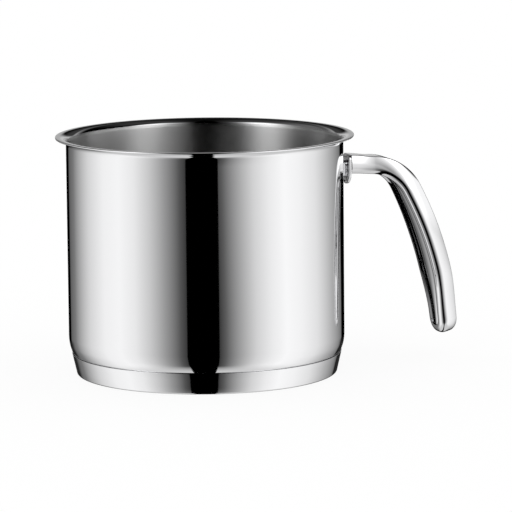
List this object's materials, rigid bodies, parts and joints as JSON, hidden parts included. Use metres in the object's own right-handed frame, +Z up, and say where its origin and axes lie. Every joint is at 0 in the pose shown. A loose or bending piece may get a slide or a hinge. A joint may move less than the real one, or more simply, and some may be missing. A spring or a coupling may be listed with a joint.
{
  "type": "milk pan",
  "caption": "tall round stainless steel pan with a flared pouring rim, a thick capsule base and a hollow steel handle that bends down beside the wall",
  "frame": {"origin": "on the pan's axis, at the flat underside of the base, where it rests on a hob or a table", "axes": "+Z is up through the open top, +X points from the pan's axis to the handle, +Y is across the handle"},
  "size_m": [0.2107, 0.1508, 0.121],
  "materials": {
    "pan_steel": "mirror polished outside, satin inside",
    "aluminium_disc": "plain rolled disc, sealed in",
    "capsule_steel": "mirror polished side, brushed underside",
    "bracket_steel": "polished weld stud",
    "plate_steel": "polished pressing",
    "handle_steel": "polished pressing",
    "liner_steel": "polished pressing"
  },
  "bodies": {
    "root": {"pan_shell": "pan_steel", "base_core": "aluminium_disc", "base_capsule": "capsule_steel", "wall_bracket": "bracket_steel", "handle_end_plate": "plate_steel", "handle_outer_shell": "handle_steel", "handle_inner_liner": "liner_steel"}
  },
  "joints": []
}
